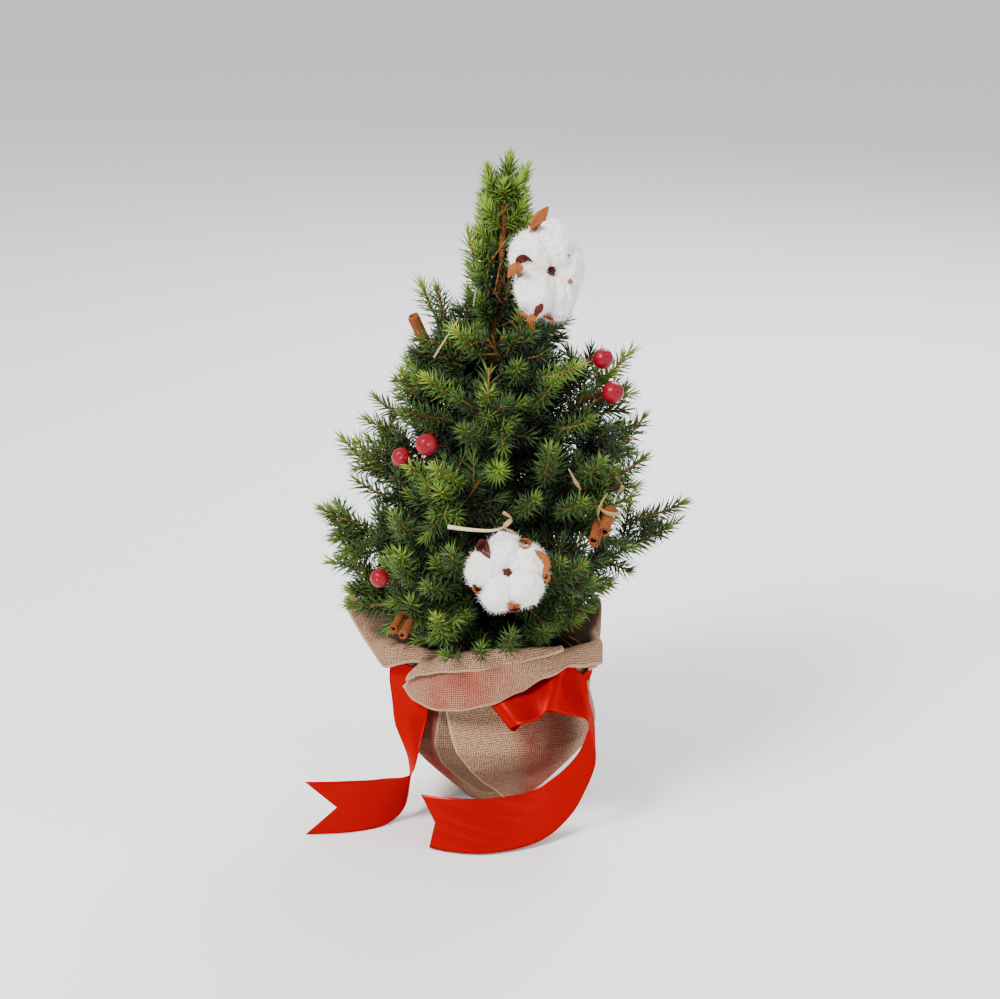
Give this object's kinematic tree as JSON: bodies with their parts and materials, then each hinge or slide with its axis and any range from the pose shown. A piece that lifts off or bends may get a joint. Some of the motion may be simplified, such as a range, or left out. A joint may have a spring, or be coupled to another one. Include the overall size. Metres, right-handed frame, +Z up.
{
  "type": "potted dwarf spruce",
  "caption": "Small conical spruce in a tapered pot wrapped in burlap, tied with a wide satin ribbon and trimmed with cotton, berries and cinnamon.",
  "frame": {"origin": "middle of the flat underside of the wrapped pot", "axes": "+Z up along the plant, -Y towards the front with the flap and the folded ribbon, +X to the right seen from the front"},
  "size_m": [0.2496, 0.2337, 0.4488],
  "materials": {
    "bark": "rough",
    "foliage": "matte",
    "burlap": "coarse plain weave",
    "ribbon": "satin",
    "pot": "matte",
    "soil": "crumbly",
    "cotton": "fluffy",
    "bract": "dry",
    "berry": "gloss",
    "cinnamon": "dry bark",
    "straw": "dry fibre"
  },
  "bodies": {
    "root": {"bough_high_1": "bark", "bough_high_2": "bark", "bough_high_3": "bark", "bough_high_4": "bark", "bough_low_1": "bark", "bough_low_2": "bark", "bough_low_3": "bark", "bough_low_4": "bark", "bough_low_5": "bark", "bough_mid_1": "bark", "bough_mid_2": "bark", "bough_mid_3": "bark", "bough_mid_4": "bark", "bough_mid_5": "bark", "bough_wide_1": "bark", "bough_wide_2": "bark", "bough_wide_3": "bark", "bough_wide_4": "bark", "bough_wide_5": "bark", "bough_wide_6": "bark", "foliage_high_1": "foliage", "foliage_high_2": "foliage", "foliage_high_3": "foliage", "foliage_high_4": "foliage", "foliage_leader": "foliage", "foliage_low_1": "foliage", "foliage_low_2": "foliage", "foliage_low_3": "foliage", "foliage_low_4": "foliage", "foliage_low_5": "foliage", "foliage_mid_1": "foliage", "foliage_mid_2": "foliage", "foliage_mid_3": "foliage", "foliage_mid_4": "foliage", "foliage_mid_5": "foliage", "foliage_spire_1": "foliage", "foliage_spire_2": "foliage", "foliage_spire_3": "foliage", "foliage_upper_1": "foliage", "foliage_upper_2": "foliage", "foliage_upper_3": "foliage", "foliage_upper_4": "foliage", "foliage_wide_1": "foliage", "foliage_wide_2": "foliage", "foliage_wide_3": "foliage", "foliage_wide_4": "foliage", "foliage_wide_5": "foliage", "foliage_wide_6": "foliage", "pot": "pot", "ribbon_band": "ribbon", "ribbon_bow": "ribbon", "ribbon_tail_front": "ribbon", "ribbon_tail_left": "ribbon", "soil": "soil", "trunk": "bark", "wrap_body": "burlap", "wrap_collar_back": "burlap", "wrap_collar_front": "burlap", "wrap_flap": "burlap"}
  },
  "joints": []
}
